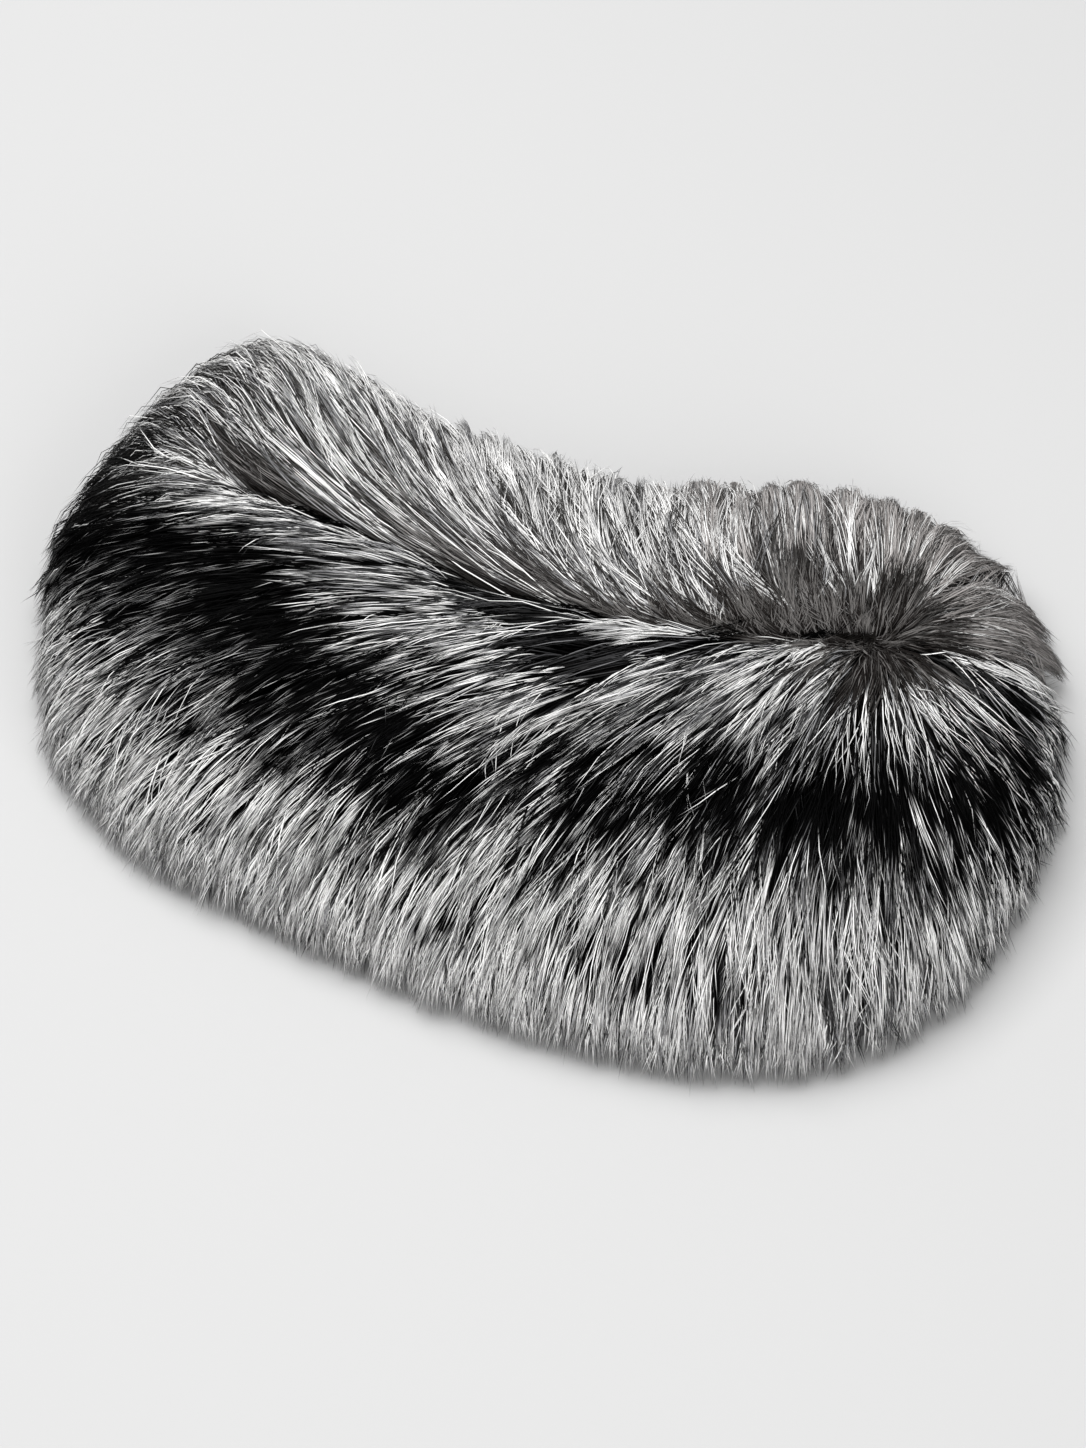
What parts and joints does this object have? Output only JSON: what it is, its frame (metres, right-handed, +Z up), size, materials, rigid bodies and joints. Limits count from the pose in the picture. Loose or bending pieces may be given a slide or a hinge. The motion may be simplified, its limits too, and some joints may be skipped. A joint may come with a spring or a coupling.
{
  "type": "fur collar wrap",
  "caption": "Thick silver-fox fur collar wrap laid open as a crescent, with a parting and a hair whorl at one end.",
  "frame": {"origin": "middle of the bounding box on the surface that the wrap lies on", "axes": "+Z up out of the pile, +X along the wrap towards the hair whorl, +Y towards the neck side"},
  "size_m": [0.4684, 0.3944, 0.085],
  "materials": {
    "fur_silver": "long silver-tipped black fox pile, soft sheen",
    "fox_leather": "dressed pelt, pale matt flesh side"
  },
  "bodies": {
    "root": {"fur_fall": "fur_silver", "fur_neck": "fur_silver", "skin_fall": "fox_leather", "skin_neck": "fox_leather"}
  },
  "joints": []
}
